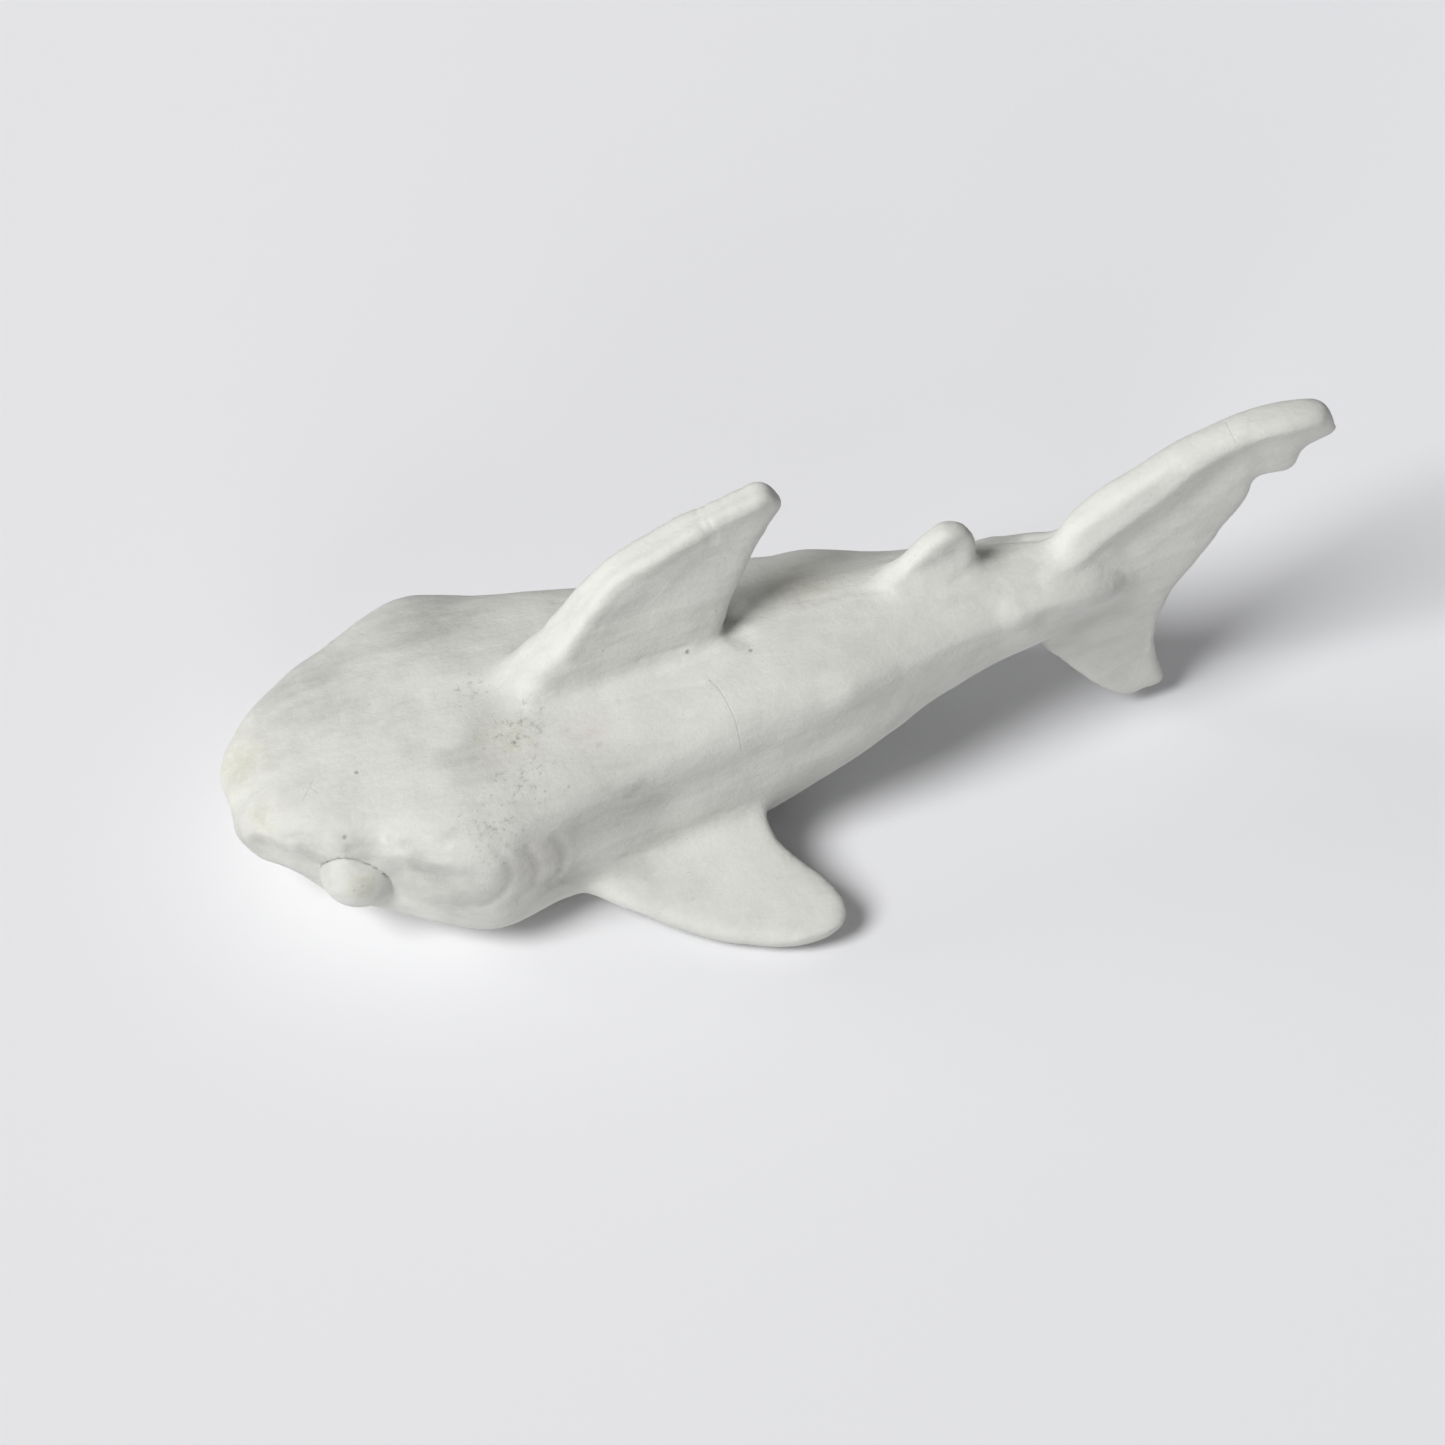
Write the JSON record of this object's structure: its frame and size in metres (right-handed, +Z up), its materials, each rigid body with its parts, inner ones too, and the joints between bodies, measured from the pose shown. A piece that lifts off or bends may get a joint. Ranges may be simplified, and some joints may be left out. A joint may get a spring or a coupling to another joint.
{
  "type": "shark figurine",
  "caption": "Small hand-modelled shark ornament in bare white clay, which stands on its chest with its tail raised.",
  "frame": {"origin": "on the ground under the shoulder, in the flat patch of the chest that the shark stands on", "axes": "+X back from the nose to the tail, +Y to the shark's right, +Z up"},
  "size_m": [0.1958, 0.0868, 0.0709],
  "materials": {
    "white_clay": "bare and matte, rubbed smooth by hand, with dusty patches and a few stains"
  },
  "bodies": {
    "root": {"shark": "white_clay"}
  },
  "joints": []
}
